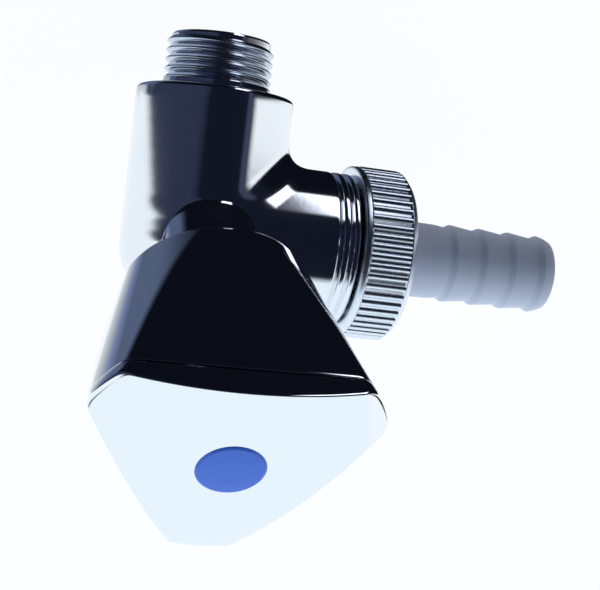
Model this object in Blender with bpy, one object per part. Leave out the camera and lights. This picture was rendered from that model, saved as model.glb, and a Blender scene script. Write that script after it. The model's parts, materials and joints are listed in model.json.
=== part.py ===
"""Angle stop valve: threaded inlet, bonnet at 45 degrees with a three-flat handle, hose union.

Every length in the outlines is in millimetres. An outline is a list of (radius, along) points
that is spun round its axis. Three axes carry the whole valve:

- the inlet axis runs along +Y and starts at the centre of the inlet thread's end,
- the handle axis leaves it at 45 degrees, forwards and up,
- the outlet axis runs along +X.
"""

import math

import bmesh
import bpy
from mathutils import Matrix, Vector

MM = 0.001
GAP = 0.3  # between neighbouring pieces

# Inlet and casting
INLET_THREAD_RADIUS = 10.4775  # G 1/2, 20.955 mm across
SHOULDER_Y = -10.7
INLET_BORE_RADIUS = 6.8
INLET_DRILL_RADIUS = 5.5
INLET_DRILL_END_Y = -32.0
BODY_RADIUS = 15.2
BODY_ROUND_START_Y = -41.0
BODY_ROUND_DEPTH = 12.5

# Handle axis: stations along it are measured from its origin, inside the barrel
HANDLE_ORIGIN = (0.0, -34.77, 4.5)
HANDLE_TILT = math.radians(45.0)
BOSS_RADIUS = 10.8
BOSS_END = 23.5
SEAT_TOP = 3.5
SEAT_HOLE_RADIUS = 4.2
SEAT_RADIUS = 5.4
CHAMBER_FLOOR = 2.5
CHAMBER_RADIUS = 8.2
BONNET_START = 14.5
BONNET_THREAD_RADIUS = 8.33  # G 3/8, 16.66 mm across
BONNET_FLANGE_RADIUS = 10.6
BONNET_HEX = 17.0  # across flats
BONNET_TOP = 39.2
NECK_BORE_RADIUS = 4.8
GUIDE_HEX = 12.0  # across flats
PLUNGER_HEX = 11.3
GUIDE_END = 29.6
SPINDLE_RADIUS = 4.5
SPINDLE_GROOVE_RADIUS = 2.7
SPINDLE_GROOVE_WIDTH = 2.1
SPINDLE_GROOVES = (31.0, 34.6)
SPINDLE_TOP = 49.0

# Handle
HANDLE_BACK = 20.8
HANDLE_BACK_RADIUS = 17.3
HANDLE_RIM = 57.1
HANDLE_RIM_RADIUS = 27.3
HANDLE_FLAT = 17.5  # from the axis to each flat
HANDLE_ROLL = math.radians(1.3)  # how the handle stands when it is closed
HANDLE_SEAM = 54.3  # middle of the seam between shell and cap
DOME_HEIGHT = 4.0
HANDLE_WALL = 1.6
WEB_BACK = 49.0
WEB_FRONT = 51.0
HUB_START = 41.7
HUB_RADIUS = 8.6
INDEX_RECESS_RADIUS = 6.3

# Outlet axis
OUTLET_AXIS_Y = -37.7
BRANCH_RADIUS = 15.0
BRANCH_SHOULDER = 28.0
BRANCH_GROOVES = (23.95, 26.05)
BRANCH_GROOVE_WIDTH = 0.6
SPIGOT_RADIUS = 13.2  # G 3/4 thread
SPIGOT_END = 32.6
OUTLET_PORT_RADIUS = 6.5
OUTLET_PORT_START = 7.0
CARTRIDGE_BORE_RADIUS = 10.0
CARTRIDGE_START = 16.8  # stations of the backflow cartridge are measured from here
NUT_START = 28.4
NUT_END = 39.1
NUT_FLANGE = 37.3
NUT_RADIUS = 16.9
NUT_THREAD_RADIUS = 13.5
NUT_HOLE_RADIUS = 8.0
GASKET_THICKNESS = 1.7
COLLAR_THICKNESS = 2.1
COLLAR_RADIUS = 12.2
NOZZLE_BORE_RADIUS = 4.6
NOZZLE_END = 71.7
BARB_FIRST = 50.4
BARB_PITCH = 6.2
BARB_COUNT = 4
BARB_RADIUS = 7.75
BARB_ROOT_RADIUS = 7.1

FINE = 36  # facets round a large piece
COARSE = 20  # facets round a small piece

FINISHES = {
    "chrome": ((0.78, 0.81, 0.86), 0.08, 1.0),
    "brass": ((0.78, 0.60, 0.30), 0.30, 1.0),
    "steel": ((0.60, 0.61, 0.63), 0.25, 1.0),
    "black_rubber": ((0.02, 0.02, 0.02), 0.70, 0.0),
    "red_fibre": ((0.45, 0.10, 0.07), 0.80, 0.0),
    "white_plastic": ((0.85, 0.85, 0.83), 0.35, 0.0),
    "green_plastic": ((0.10, 0.38, 0.25), 0.40, 0.0),
    "grey_plastic": ((0.48, 0.51, 0.57), 0.45, 0.0),
    "blue_plastic": ((0.07, 0.15, 0.58), 0.25, 0.0),
}


def clear_scene():
    """Remove every object, so the model starts from nothing."""
    for old in list(bpy.data.objects):
        bpy.data.objects.remove(old, do_unlink=True)


def make_finish(name):
    """One Principled material with the finish's colour, roughness and metallic value."""
    colour, roughness, metallic = FINISHES[name]
    material = bpy.data.materials.new(name)
    material.use_nodes = True
    shader = material.node_tree.nodes["Principled BSDF"]
    shader.inputs["Base Color"].default_value = (*colour, 1.0)
    shader.inputs["Roughness"].default_value = roughness
    shader.inputs["Metallic"].default_value = metallic
    material.diffuse_color = (*colour, 1.0)
    return material


def make_axis(name, origin, across, up, along):
    """An empty whose local +Z runs along one of the valve's axes."""
    empty = bpy.data.objects.new(name, None)
    bpy.context.collection.objects.link(empty)
    turn = Matrix((across, up, along)).transposed().to_4x4()
    empty.matrix_world = Matrix.Translation(Vector(origin) * MM) @ turn
    return empty


def place(name, mesh, axis, material=None):
    """Link a mesh as a named piece on its axis, or as a hidden cutter if it has no material."""
    data = bpy.data.meshes.new(name)
    bmesh.ops.recalc_face_normals(mesh, faces=mesh.faces)
    mesh.to_mesh(data)
    mesh.free()
    piece = bpy.data.objects.new(name, data)
    bpy.context.collection.objects.link(piece)
    piece.parent = axis
    if material is None:
        piece.hide_render = True
        piece.display_type = "WIRE"
    else:
        data.materials.append(material)
        data.shade_smooth()
        data.set_sharp_from_angle(angle=math.radians(32.0))
    return piece


def combine(piece, tool, operation):
    """Add an exact Boolean that joins, cuts or intersects the piece with a hidden tool."""
    step = piece.modifiers.new(tool.name, "BOOLEAN")
    step.operation = operation
    step.solver = "EXACT"
    step.object = tool


def turned(outline, segments=FINE):
    """Spin a closed (radius, along) outline into a solid round the local Z axis."""
    mesh = bmesh.new()
    points = [mesh.verts.new((radius * MM, 0.0, along * MM)) for radius, along in outline]
    edges = []
    for here, there in zip(points, points[1:] + points[:1]):
        if here.co.x > 0.0 or there.co.x > 0.0:
            edges.append(mesh.edges.new((here, there)))
    bmesh.ops.spin(mesh, geom=points + edges, cent=(0, 0, 0), axis=(0, 0, 1),
                   angle=math.tau, steps=segments, use_merge=True)
    bmesh.ops.remove_doubles(mesh, verts=mesh.verts, dist=1e-6)
    return mesh


def prism(width, start, end, sides=6):
    """A straight prism round the local Z axis, its width measured across flats."""
    mesh = bmesh.new()
    radius = width / 2.0 / math.cos(math.pi / sides)
    bmesh.ops.create_cone(mesh, cap_ends=True, segments=sides, radius1=radius * MM,
                          radius2=radius * MM, depth=(end - start) * MM)
    bmesh.ops.translate(mesh, verts=mesh.verts, vec=(0, 0, (start + end) / 2.0 * MM))
    return mesh


def block(size, centre):
    """A box of the given size, centred at a point in the axis's own coordinates."""
    mesh = bmesh.new()
    bmesh.ops.create_cube(mesh, size=1.0)
    bmesh.ops.scale(mesh, verts=mesh.verts, vec=Vector(size) * MM)
    bmesh.ops.translate(mesh, verts=mesh.verts, vec=Vector(centre) * MM)
    return mesh


def rod(radius, start, end):
    """The outline of a plain rod, for pegs and drilled holes."""
    return [(0, start), (radius, start), (radius, end), (0, end)]


def ring(inner, outer, start, end):
    """The outline of a plain washer or sleeve."""
    return [(inner, start), (outer, start), (outer, end), (inner, end)]


def ring_cord(middle_radius, thickness, along, corners=8):
    """The outline of an O-ring."""
    angles = [math.tau * step / corners for step in range(corners)]
    reach = thickness / 2.0
    return [(middle_radius + reach * math.cos(turn), along + reach * math.sin(turn)) for turn in angles]


def quarter_round(radius, start, depth, steps=5):
    """Outline points of a rounded end that closes on the axis."""
    angles = [math.pi / 2.0 * step / steps for step in range(steps + 1)]
    points = [(radius * math.cos(turn), start - depth * math.sin(turn)) for turn in angles]
    points[-1] = (0, start - depth)
    return points


# ---------------------------------------------------------------- casting


def build_body(axes, finish):
    """The one-piece casting: inlet spigot, barrel, bonnet boss, outlet branch and their bores."""
    barrel = [(0, 0), (9.6, 0), (INLET_THREAD_RADIUS, -0.9), (INLET_THREAD_RADIUS, SHOULDER_Y + 1.6)]
    barrel += [(10.8, SHOULDER_Y + 0.6), (11.6, SHOULDER_Y), (BODY_RADIUS - 0.6, SHOULDER_Y)]
    barrel += [(BODY_RADIUS, SHOULDER_Y - 0.6)]
    barrel += quarter_round(BODY_RADIUS, BODY_ROUND_START_Y, BODY_ROUND_DEPTH)
    body = place("valve_body", turned(barrel), axes["inlet"], finish)

    boss = [(0, -1.0), (BOSS_RADIUS, -1.0), (BOSS_RADIUS, BOSS_END - 0.6)]
    boss += [(BOSS_RADIUS - 0.6, BOSS_END), (0, BOSS_END)]
    combine(body, place("boss_form", turned(boss), axes["handle"]), "UNION")
    combine(body, place("branch_form", turned(branch_outline()), axes["outlet"]), "UNION")

    bore = [(0, 1), (INLET_BORE_RADIUS, 1), (INLET_BORE_RADIUS, -18.0), (INLET_DRILL_RADIUS, -19.3)]
    bore += [(INLET_DRILL_RADIUS, INLET_DRILL_END_Y), (0, INLET_DRILL_END_Y)]
    combine(body, place("inlet_bore", turned(bore, COARSE), axes["inlet"]), "DIFFERENCE")
    headwork = turned(headwork_bore_outline(), COARSE)
    combine(body, place("headwork_bore", headwork, axes["handle"]), "DIFFERENCE")
    port = [(0, OUTLET_PORT_START), (OUTLET_PORT_RADIUS, OUTLET_PORT_START)]
    port += [(OUTLET_PORT_RADIUS, CARTRIDGE_START), (CARTRIDGE_BORE_RADIUS, CARTRIDGE_START)]
    port += [(CARTRIDGE_BORE_RADIUS, SPIGOT_END + 1), (0, SPIGOT_END + 1)]
    combine(body, place("outlet_bore", turned(port, COARSE), axes["outlet"]), "DIFFERENCE")
    passage = turned(rod(4.0, 6.6, 14.0), COARSE)
    bmesh.ops.translate(passage, verts=passage.verts, vec=Vector((-2.7, 5.9, 0.0)) * MM)
    combine(body, place("chamber_passage", passage, axes["outlet"]), "DIFFERENCE")


def branch_outline():
    """Outlet branch with its two ring grooves and the union's threaded spigot."""
    outline = [(0, 0), (BRANCH_RADIUS, 0)]
    for groove in BRANCH_GROOVES:
        middle = groove + BRANCH_GROOVE_WIDTH / 2.0
        outline += [(BRANCH_RADIUS, groove), (BRANCH_RADIUS - 0.5, middle)]
        outline += [(BRANCH_RADIUS, groove + BRANCH_GROOVE_WIDTH)]
    outline += [(BRANCH_RADIUS, BRANCH_SHOULDER - 0.4), (BRANCH_RADIUS - 0.4, BRANCH_SHOULDER)]
    outline += [(SPIGOT_RADIUS, BRANCH_SHOULDER), (SPIGOT_RADIUS, SPIGOT_END - 0.6)]
    return outline + [(SPIGOT_RADIUS - 0.6, SPIGOT_END), (0, SPIGOT_END)]


def headwork_bore_outline():
    """Seat hole, raised seat, plunger chamber and the wider stretch that takes the bonnet."""
    outline = [(0, -8.0), (SEAT_HOLE_RADIUS, -8.0), (SEAT_HOLE_RADIUS, SEAT_TOP)]
    outline += [(SEAT_RADIUS, SEAT_TOP), (SEAT_RADIUS + 0.6, CHAMBER_FLOOR)]
    outline += [(CHAMBER_RADIUS, CHAMBER_FLOOR), (CHAMBER_RADIUS, BONNET_START - 1.0)]
    thread = BONNET_THREAD_RADIUS + GAP
    return outline + [(thread, BONNET_START - 0.4), (thread, BOSS_END + 1), (0, BOSS_END + 1)]


# ---------------------------------------------------------------- headwork


def build_bonnet(axes, brass, fibre):
    """Screwed-in housing with its hexagon, hexagonal plunger guide and spindle bore, and its gasket."""
    outline = [(0, BONNET_START), (BONNET_THREAD_RADIUS - 0.6, BONNET_START)]
    outline += [(BONNET_THREAD_RADIUS, BONNET_START + 0.6), (BONNET_THREAD_RADIUS, 25.2)]
    outline += [(BONNET_FLANGE_RADIUS, 25.2), (BONNET_FLANGE_RADIUS, 27.0), (7.4, 27.0)]
    outline += [(7.4, BONNET_TOP - 0.6), (6.8, BONNET_TOP), (0, BONNET_TOP)]
    bonnet = place("bonnet", turned(outline), axes["handle"], brass)
    combine(bonnet, place("bonnet_hexagon", prism(BONNET_HEX, 26.5, 31.5), axes["handle"]), "UNION")
    guide = prism(GUIDE_HEX, BONNET_START - 1, GUIDE_END)
    combine(bonnet, place("bonnet_guide", guide, axes["handle"]), "DIFFERENCE")
    bore = turned(rod(NECK_BORE_RADIUS, GUIDE_END - 1, BONNET_TOP + 1), COARSE)
    combine(bonnet, place("bonnet_bore", bore, axes["handle"]), "DIFFERENCE")
    gasket = turned(ring(8.8, BONNET_FLANGE_RADIUS, BOSS_END + GAP, 24.9))
    place("bonnet_gasket", gasket, axes["handle"], fibre)


def spindle_outline():
    """Drive thread, collar, two seal grooves, clip groove, splined end and its tapped hole."""
    outline = [(0, 16.0), (3.0, 16.0), (3.5, 16.6), (3.5, 27.3), (5.7, 27.3), (5.7, 28.4)]
    outline += [(SPINDLE_RADIUS, 28.4)]
    for groove in SPINDLE_GROOVES:
        outline += [(SPINDLE_RADIUS, groove), (SPINDLE_GROOVE_RADIUS, groove)]
        outline += [(SPINDLE_GROOVE_RADIUS, groove + SPINDLE_GROOVE_WIDTH)]
        outline += [(SPINDLE_RADIUS, groove + SPINDLE_GROOVE_WIDTH)]
    outline += [(SPINDLE_RADIUS, 39.3), (3.3, 39.3), (3.3, 40.9), (SPINDLE_RADIUS, 40.9)]
    outline += [(SPINDLE_RADIUS, 41.5), (4.0, 41.5), (4.0, SPINDLE_TOP - 0.5), (3.5, SPINDLE_TOP)]
    return outline + [(2.3, SPINDLE_TOP), (2.3, 38.5), (0, 37.5)]


def build_spindle(axes, brass, rubber, steel, slip):
    """Spindle with its O-rings, slip washer and retaining clip."""
    place("spindle", turned(spindle_outline(), COARSE), axes["handle"], brass)
    place("slip_washer", turned(ring(4.8, 5.7, 28.7, 29.3), COARSE), axes["handle"], slip)
    for name, groove in zip(("spindle_oring_lower", "spindle_oring_upper"), SPINDLE_GROOVES):
        middle = groove + SPINDLE_GROOVE_WIDTH / 2.0
        place(name, turned(ring_cord(3.75, 1.5, middle), COARSE), axes["handle"], rubber)
    clip = place("spindle_clip", turned(ring(3.6, 6.4, 39.6, 40.6), COARSE), axes["handle"], steel)
    mouth = place("clip_mouth", block((5.0, 8.0, 3.0), (0, -6.0, 40.1)), axes["handle"])
    combine(clip, mouth, "DIFFERENCE")


def build_plunger(axes, brass, rubber, steel):
    """Plunger that the spindle's thread lifts, with the seat washer and the screw that holds it."""
    cup = [(0, 4.6), (7.5, 4.6), (7.5, 8.6), (7.1, 9.0), (5.0, 9.0), (5.0, 9.5), (0, 9.5)]
    plunger = place("plunger", turned(cup), axes["plunger"], brass)
    stem = place("plunger_stem", prism(PLUNGER_HEX, 8.5, 21.0), axes["plunger"])
    combine(plunger, stem, "UNION")
    hollow = [(0, 4.0), (6.8, 4.0), (6.8, 7.3), (1.9, 7.3), (1.9, 10.6), (3.9, 10.6), (3.9, 22.0), (0, 22.0)]
    combine(plunger, place("plunger_hollow", turned(hollow), axes["plunger"]), "DIFFERENCE")
    place("seat_washer", turned(ring(2.1, 6.5, SEAT_TOP + GAP, 7.0)), axes["plunger"], rubber)
    screw = [(0, 1.6), (2.8, 1.6), (3.4, 2.2), (3.4, 3.5), (1.6, 3.5), (1.6, 10.0), (0, 10.0)]
    screw_piece = place("washer_screw", turned(screw, COARSE), axes["plunger"], steel)
    slot = place("washer_screw_slot", block((8.0, 0.9, 2.0), (0, 0, 1.4)), axes["plunger"])
    combine(screw_piece, slot, "DIFFERENCE")


# ---------------------------------------------------------------- handle


def cone_radius(along):
    """Radius of the handle's cone at a station on its axis."""
    slope = (HANDLE_RIM_RADIUS - HANDLE_BACK_RADIUS) / (HANDLE_RIM - HANDLE_BACK)
    return HANDLE_BACK_RADIUS + slope * (along - HANDLE_BACK)


def dome_outline(wall, steps=5):
    """Points over the domed front, from the rim to the centre, a wall thickness below the surface."""
    radii = [(HANDLE_RIM_RADIUS - wall) * (1.0 - step / steps) for step in range(steps + 1)]
    crown = HANDLE_RIM + DOME_HEIGHT - wall
    return [(radius, crown - DOME_HEIGHT * (radius / HANDLE_RIM_RADIUS) ** 2) for radius in radii]


def three_flats(outline, wall):
    """Turn an outline and slice it with the handle's three flats, a wall thickness inside them."""
    mesh = turned(outline, 54)
    for turn in range(3):
        angle = math.pi / 2.0 + HANDLE_ROLL + math.tau * turn / 3.0
        normal = Vector((math.cos(angle), math.sin(angle), 0.0))
        everything = mesh.verts[:] + mesh.edges[:] + mesh.faces[:]
        bmesh.ops.bisect_plane(mesh, geom=everything, dist=1e-7, plane_no=normal,
                               plane_co=normal * (HANDLE_FLAT - wall) * MM, clear_outer=True)
        rims = [edge for edge in mesh.edges if edge.is_boundary]
        bmesh.ops.holes_fill(mesh, edges=rims, sides=0)
    return mesh


def cone_slice(start, end, wall):
    """The handle's three-flat cone between two stations, a wall thickness inside its surface."""
    outline = [(0, start), (cone_radius(start) - wall, start), (cone_radius(end) - wall, end), (0, end)]
    return three_flats(outline, wall)


def build_handle_shell(axes, chrome, brass, steel):
    """Hollow three-flat shell with the hub that carries the splined insert, and its screw."""
    outside = cone_slice(HANDLE_BACK, HANDLE_SEAM - GAP / 2.0, 0.0)
    shell = place("handle_shell", outside, axes["handle"], chrome)
    hollow = place("shell_hollow", cone_slice(HANDLE_BACK - 1.0, WEB_BACK, HANDLE_WALL), axes["handle"])
    hub = place("shell_hub", turned(rod(HUB_RADIUS, HUB_START, WEB_FRONT), COARSE), axes["handle"])
    combine(hollow, hub, "DIFFERENCE")
    combine(shell, hollow, "DIFFERENCE")
    recess = place("shell_recess", cone_slice(WEB_FRONT, HANDLE_RIM, HANDLE_WALL), axes["handle"])
    combine(shell, recess, "DIFFERENCE")
    pocket = [(0, HUB_START - 1), (6.3, HUB_START - 1), (6.3, WEB_BACK), (2.5, WEB_BACK)]
    pocket += [(2.5, WEB_FRONT + 1), (0, WEB_FRONT + 1)]
    combine(shell, place("shell_pocket", turned(pocket, COARSE), axes["handle"]), "DIFFERENCE")
    place("spline_insert", turned(ring(4.3, 6.0, 42.0, 48.7), COARSE), axes["handle"], brass)
    screw = [(0, 41.0), (2.0, 41.0), (2.0, WEB_FRONT + GAP), (3.8, WEB_FRONT + GAP), (3.8, 53.4)]
    screw += [(3.2, 53.8), (0, 53.8)]
    screw_piece = place("handle_screw", turned(screw, COARSE), axes["handle"], steel)
    socket = place("handle_screw_socket", prism(3.0, 52.0, 54.5), axes["handle"])
    combine(screw_piece, socket, "DIFFERENCE")


def build_handle_cap(axes, chrome, blue):
    """Domed front cap with its locating lip and index hole, and the blue cold-water index."""
    seam = HANDLE_SEAM + GAP / 2.0
    face = three_flats([(0, seam), (cone_radius(seam), seam)] + dome_outline(0.0), 0.0)
    cap = place("handle_cap", face, axes["handle"], chrome)
    lip_wall = HANDLE_WALL + GAP
    lip = place("cap_lip", cone_slice(WEB_FRONT + 1.0, seam + 0.5, lip_wall), axes["handle"])
    combine(cap, lip, "UNION")
    inner_wall = lip_wall + 1.2
    start = WEB_FRONT + 0.5
    inside = [(0, start), (cone_radius(start) - inner_wall, start)]
    inside += [(HANDLE_RIM_RADIUS - inner_wall, HANDLE_RIM - 1.6)]
    inside += [point for point in dome_outline(HANDLE_WALL) if point[0] < HANDLE_RIM_RADIUS - inner_wall]
    hollow = place("cap_hollow", three_flats(inside, inner_wall), axes["handle"])
    combine(hollow, place("cap_boss", turned(rod(8.0, 56.8, 62.0), COARSE), axes["handle"]), "DIFFERENCE")
    combine(cap, hollow, "DIFFERENCE")
    hole = [(0, 56.0), (4.6, 56.0), (4.6, 59.8), (INDEX_RECESS_RADIUS, 59.8)]
    hole += [(INDEX_RECESS_RADIUS, 63.0), (0, 63.0)]
    combine(cap, place("cap_hole", turned(hole), axes["handle"]), "DIFFERENCE")
    disc = [(0, 61.55), (3.0, 61.5), (5.6, 61.3), (6.0, 60.95), (6.0, 60.1), (4.3, 60.1), (4.3, 56.8)]
    disc += [(3.3, 56.8), (3.3, 59.4), (0, 59.4)]
    place("index_disc", turned(disc), axes["handle"], blue)


# ---------------------------------------------------------------- outlet


def build_check_valve(axes, white, green, rubber, steel):
    """Backflow cartridge: housing with its seat, O-ring, guide, poppet, poppet seal and spring."""
    housing = [(4.8, GAP), (9.7, GAP), (9.7, 5.5), (8.2, 5.5), (8.2, 7.3), (9.7, 7.3)]
    housing += [(9.7, 15.2), (7.6, 15.2), (7.6, 2.1), (4.8, 2.1)]
    place("check_housing", turned(housing, COARSE), axes["cartridge"], white)
    place("check_oring", turned(ring_cord(9.1, 1.2, 6.4), COARSE), axes["cartridge"], rubber)
    guide_outline = [(1.7, 11.9), (3.0, 11.9), (3.0, 12.9), (7.3, 12.9), (7.3, 14.9), (1.7, 14.9)]
    guide = place("check_guide", turned(guide_outline, COARSE), axes["cartridge"], white)
    for window in range(4):
        drill = turned(rod(1.5, 12.6, 15.2), 16)
        angle = math.tau * (window + 0.5) / 4.0
        offset = Vector((math.cos(angle), math.sin(angle), 0.0)) * 5.1 * MM
        bmesh.ops.translate(drill, verts=drill.verts, vec=offset)
        combine(guide, place(f"guide_window_{window + 1}", drill, axes["cartridge"]), "DIFFERENCE")
    poppet = [(0, 0.9), (3.0, 0.9), (3.2, 1.8), (2.1, 1.8), (2.1, 2.9), (6.2, 2.9), (6.2, 4.5)]
    poppet += [(2.6, 4.5), (2.6, 5.5), (1.4, 6.3), (1.4, 14.3), (1.0, 14.7), (0, 14.7)]
    place("check_poppet", turned(poppet, COARSE), axes["poppet"], green)
    place("check_seal", turned(ring(2.4, 5.9, 2.1, 2.6), COARSE), axes["poppet"], rubber)
    build_check_spring(axes, steel)


def build_check_spring(axes, steel):
    """Coil spring between the poppet's disc and the guide, a round wire along a helix."""
    start, end, radius, turns, points_per_turn = 5.1, 12.3, 3.7, 5, 10
    data = bpy.data.curves.new("check_spring", "CURVE")
    data.dimensions = "3D"
    data.bevel_depth = 0.25 * MM
    data.bevel_resolution = 1
    data.use_fill_caps = True
    wire = data.splines.new("POLY")
    count = turns * points_per_turn + 1
    wire.points.add(count - 1)
    for index, point in enumerate(wire.points):
        angle = math.tau * index / points_per_turn
        along = start + (end - start) * index / (count - 1)
        point.co = (radius * MM * math.cos(angle), radius * MM * math.sin(angle), along * MM, 1.0)
    spring = bpy.data.objects.new("check_spring", data)
    bpy.context.collection.objects.link(spring)
    spring.parent = axes["cartridge"]
    data.materials.append(steel)


def nozzle_outline():
    """Collar, neck and the barbs, whose steep side faces the nut, up to the rounded nose."""
    collar = SPIGOT_END + GASKET_THICKNESS + 2 * GAP
    neck = collar + COLLAR_THICKNESS
    outline = [(NOZZLE_BORE_RADIUS, collar), (COLLAR_RADIUS, collar), (COLLAR_RADIUS, neck)]
    outline += [(7.5, neck), (7.4, BARB_FIRST - 3.4)]
    for barb in range(BARB_COUNT):
        peak = BARB_FIRST + BARB_PITCH * barb
        outline += [(BARB_ROOT_RADIUS, peak - 1.3), (BARB_RADIUS, peak - 0.2), (BARB_RADIUS, peak + 0.3)]
    outline += [(7.45, NOZZLE_END - 1.3), (6.9, NOZZLE_END - 0.4), (6.2, NOZZLE_END)]
    return outline + [(NOZZLE_BORE_RADIUS, NOZZLE_END)]


def build_union(axes, chrome, grey, fibre):
    """Flat gasket, barbed hose nozzle and the union nut that clamps its collar."""
    gasket = ring(7.2, 11.8, SPIGOT_END + GAP, SPIGOT_END + GAP + GASKET_THICKNESS)
    place("union_gasket", turned(gasket), axes["outlet"], fibre)
    place("hose_nozzle", turned(nozzle_outline(), COARSE + 8), axes["outlet"], grey)
    nut = [(NUT_RADIUS - 0.6, NUT_START), (NUT_RADIUS, NUT_START + 0.6), (NUT_RADIUS, NUT_END - 1.4)]
    nut += [(NUT_RADIUS - 1.4, NUT_END), (NUT_HOLE_RADIUS, NUT_END), (NUT_HOLE_RADIUS, NUT_FLANGE)]
    nut += [(NUT_THREAD_RADIUS, NUT_FLANGE), (NUT_THREAD_RADIUS, NUT_START)]
    place("union_nut", turned(nut), axes["outlet"], chrome)


def main():
    """Clear the scene, lay out the axes and build each sub-assembly on its own axis."""
    clear_scene()
    finish = {name: make_finish(name) for name in FINISHES}
    forward, rise = math.sin(HANDLE_TILT), math.cos(HANDLE_TILT)
    handle_frame = (HANDLE_ORIGIN, (1, 0, 0), (0, rise, forward), (0, -forward, rise))
    outlet_turn = ((0, 1, 0), (0, 0, 1), (1, 0, 0))
    cartridge_origin = (CARTRIDGE_START, OUTLET_AXIS_Y, 0)
    axes = {
        "inlet": make_axis("inlet_axis", (0, 0, 0), (0, 0, 1), (1, 0, 0), (0, 1, 0)),
        "handle": make_axis("handle_axis", *handle_frame),
        "plunger": make_axis("plunger_axis", *handle_frame),
        "outlet": make_axis("outlet_axis", (0, OUTLET_AXIS_Y, 0), *outlet_turn),
        "cartridge": make_axis("cartridge_axis", cartridge_origin, *outlet_turn),
        "poppet": make_axis("poppet_axis", cartridge_origin, *outlet_turn),
    }
    build_body(axes, finish["chrome"])
    build_bonnet(axes, finish["brass"], finish["red_fibre"])
    build_spindle(axes, finish["brass"], finish["black_rubber"], finish["steel"], finish["white_plastic"])
    build_plunger(axes, finish["brass"], finish["black_rubber"], finish["steel"])
    build_handle_shell(axes, finish["chrome"], finish["brass"], finish["steel"])
    build_handle_cap(axes, finish["chrome"], finish["blue_plastic"])
    cartridge_finishes = (finish["white_plastic"], finish["green_plastic"], finish["black_rubber"])
    build_check_valve(axes, *cartridge_finishes, finish["steel"])
    build_union(axes, finish["chrome"], finish["grey_plastic"], finish["red_fibre"])


main()
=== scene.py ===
"""Angle stop valve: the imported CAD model, dressed piece by piece for a soft studio picture.

Sizes are in millimetres wherever a class states them, and meshes are stored in metres. An
outline is a list of corners (radius, along, fillet) that is turned round an axis of the valve.
The casting and the handle are worked out from distances, so that their parts flow together.
"""

import json
import logging
import math
from dataclasses import dataclass, field
from enum import Enum

import bmesh
import bpy
import numpy as np
from mathutils import Matrix, Vector


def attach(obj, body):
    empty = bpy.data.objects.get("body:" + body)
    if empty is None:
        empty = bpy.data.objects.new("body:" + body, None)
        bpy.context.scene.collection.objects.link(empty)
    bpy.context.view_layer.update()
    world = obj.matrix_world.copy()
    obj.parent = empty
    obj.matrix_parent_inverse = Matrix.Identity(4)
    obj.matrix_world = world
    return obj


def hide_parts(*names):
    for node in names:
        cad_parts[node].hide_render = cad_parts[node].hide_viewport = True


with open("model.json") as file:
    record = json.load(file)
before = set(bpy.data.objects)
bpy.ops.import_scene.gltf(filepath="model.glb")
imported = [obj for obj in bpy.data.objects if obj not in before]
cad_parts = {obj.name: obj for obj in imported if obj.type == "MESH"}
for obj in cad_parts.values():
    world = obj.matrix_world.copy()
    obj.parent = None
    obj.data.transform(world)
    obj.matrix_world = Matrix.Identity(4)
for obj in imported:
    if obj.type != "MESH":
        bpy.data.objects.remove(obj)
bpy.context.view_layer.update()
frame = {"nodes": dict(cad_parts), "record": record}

MM = 0.001
GAP = 0.3  # between the handle's shell and its cap, at their seam
ROUNDING_STEPS = 4
NET_SLICES = 24  # a large net is worked out slice by slice, to spare memory
ON_PLANE = 0.05  # points nearer than this to a cutting plane count as on it

Corner = tuple[float, float, float]
Triple = tuple[float, float, float]
Piece = bpy.types.Object

log = logging.getLogger("angle_valve")


class Body(Enum):
    """The moving bodies of the valve, by the names that the CAD model gives them."""

    CASTING = "body"
    HANDLE = "handle"
    NOZZLE = "nozzle"
    NUT = "nut"


# ---------------------------------------------------------------- axes and outlines


@dataclass(frozen=True)
class Axis:
    """A straight axis of the valve. Local Z runs along it, from its origin."""

    origin: Triple
    across: Triple
    up: Triple
    along: Triple

    def placement(self) -> Matrix:
        """The matrix that takes a point in millimetres on this axis to metres in the frame."""
        turn = Matrix((self.across, self.up, self.along)).transposed().to_4x4()
        return Matrix.Scale(MM, 4) @ Matrix.Translation(Vector(self.origin)) @ turn

    def turn(self) -> np.ndarray:
        """Rows across, up and along, as a 3 by 3 array."""
        return np.array((self.across, self.up, self.along), float)


SLOPE = math.sqrt(0.5)
INLET = Axis((0.0, 0.0, 0.0), (0, 0, 1), (1, 0, 0), (0, 1, 0))
HEADWORK = Axis((0.0, -34.77, 4.5), (1, 0, 0), (0, SLOPE, SLOPE), (0, -SLOPE, SLOPE))
OUTLET = Axis((0.0, -37.7, 0.0), (0, 1, 0), (0, 0, 1), (1, 0, 0))


def soften(corners: list[Corner], steps: int = 5, closed: bool = False) -> list[tuple[float, float]]:
    """Round each corner of an outline with its own fillet.

    Args:
        corners: (radius, along, fillet) for every corner, in order.
        steps: Chords in each fillet.
        closed: Whether the last corner joins the first.

    Returns:
        The (radius, along) points of the softened outline.
    """
    points: list[tuple[float, float]] = []
    count = len(corners)
    for index, (radius, along, fillet) in enumerate(corners):
        here = Vector((radius, along))
        if fillet <= 0.0 or (not closed and index in (0, count - 1)):
            points.append((radius, along))
            continue
        before = Vector(corners[index - 1][:2]) - here
        after = Vector(corners[(index + 1) % count][:2]) - here
        half = before.angle(after) / 2.0
        reach = min(fillet / math.tan(half), before.length * 0.49, after.length * 0.49)
        start, end = here + before.normalized() * reach, here + after.normalized() * reach
        for step in range(steps + 1):
            share = step / steps
            bend = (1 - share) ** 2 * start + 2 * share * (1 - share) * here + share**2 * end
            points.append((bend.x, bend.y))
    return points


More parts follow.
